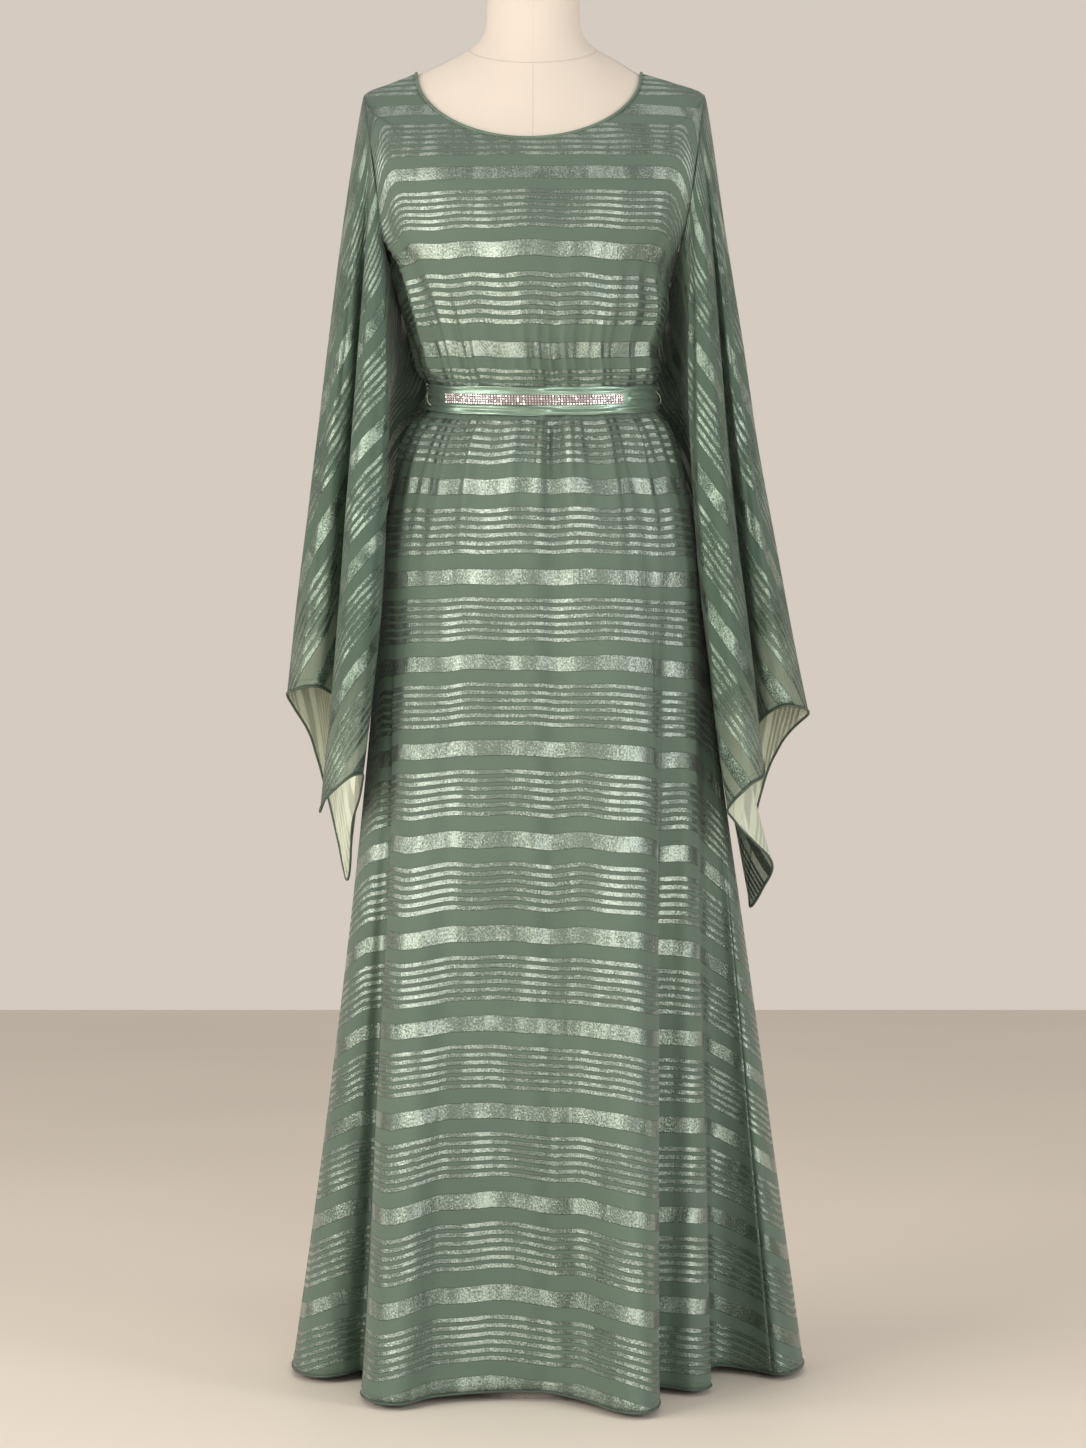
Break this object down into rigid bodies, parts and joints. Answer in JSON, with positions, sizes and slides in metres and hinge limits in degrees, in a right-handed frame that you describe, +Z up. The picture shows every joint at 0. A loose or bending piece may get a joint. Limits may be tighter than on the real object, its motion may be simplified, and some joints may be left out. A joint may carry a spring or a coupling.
{
  "type": "abaya on a dress form",
  "caption": "Long striped abaya with a scoop neck, wide hanging sleeves and a belt with a stone strip, gathered at the waist, on a limbless dress form and stand.",
  "frame": {"origin": "centre of the underside of the stand's foot, on the floor", "axes": "+Z up, the garment faces -Y, the wearer's left is +X"},
  "size_m": [0.564, 0.4363, 1.5343],
  "materials": {
    "striped_cloth": "matte chiffon with satin stripes",
    "binding_cloth": "satin",
    "satin_belt": "satin",
    "stone_strip": "sparkling",
    "form_cover": "matte woven cover",
    "stand_metal": "satin"
  },
  "bodies": {
    "root": {"front_panel": "striped_cloth", "back_panel": "striped_cloth", "sleeve_right": "striped_cloth", "sleeve_left": "striped_cloth", "neck_binding": "binding_cloth", "belt": "satin_belt", "belt_stone_strip": "stone_strip", "form_torso": "form_cover", "form_neck_cap": "form_cover", "stand_pole": "stand_metal", "stand_foot": "stand_metal"}
  },
  "joints": []
}
